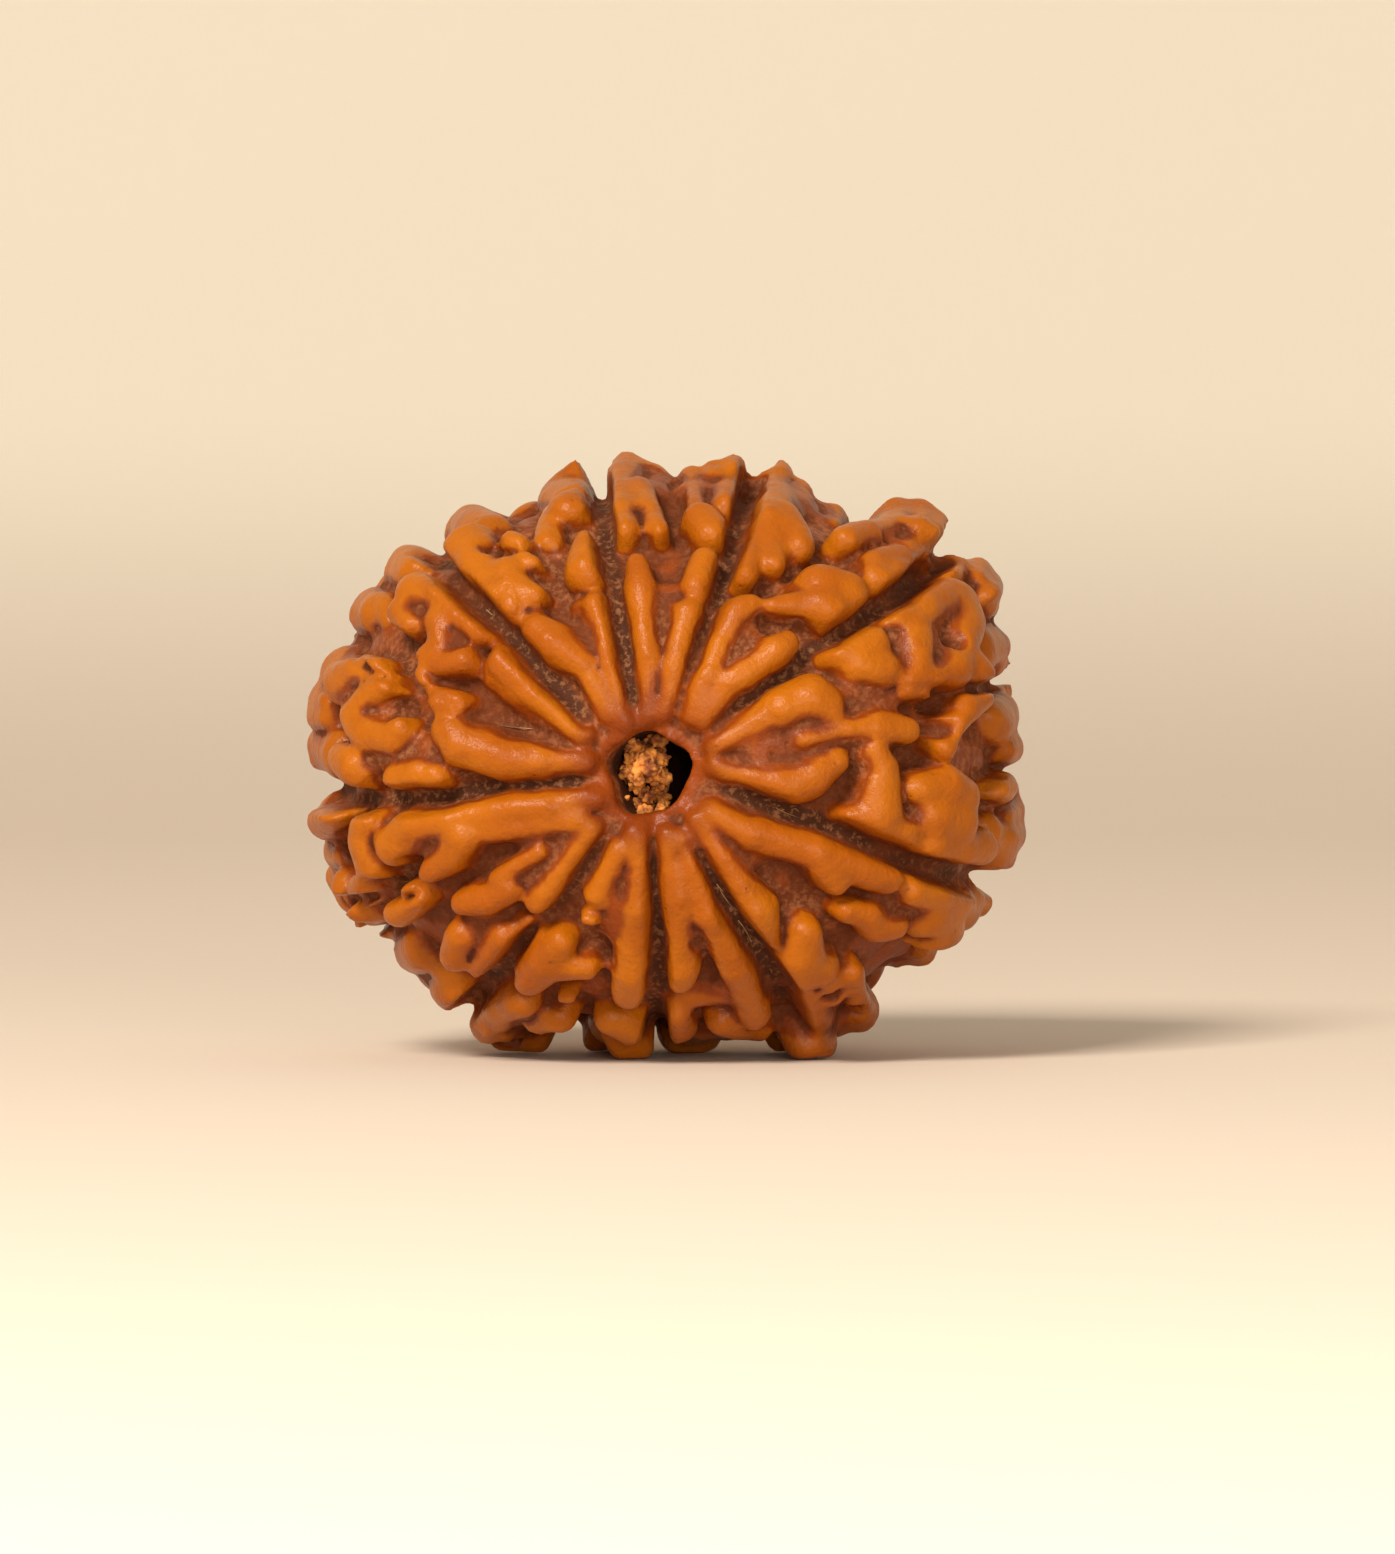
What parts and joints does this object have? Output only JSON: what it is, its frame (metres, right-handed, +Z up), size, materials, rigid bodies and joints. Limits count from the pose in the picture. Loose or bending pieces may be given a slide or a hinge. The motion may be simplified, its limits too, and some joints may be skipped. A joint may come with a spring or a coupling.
{
  "type": "rudraksha seed",
  "caption": "Dried rudraksha seed stone with knobbly ridges along its furrows and a stem channel from end to end.",
  "frame": {"origin": "the point on the surface it lies on, under the middle of its outline seen from above", "axes": "+Z up, -Y towards the end whose channel mouth is seen from the front, +X to the right as seen from there"},
  "size_m": [0.03, 0.023, 0.0252],
  "materials": {
    "stone": "hard seed stone, rubbed and oiled, orange brown on the ridges and darker in the furrows"
  },
  "bodies": {
    "root": {"rudraksha_stone": "stone"}
  },
  "joints": []
}
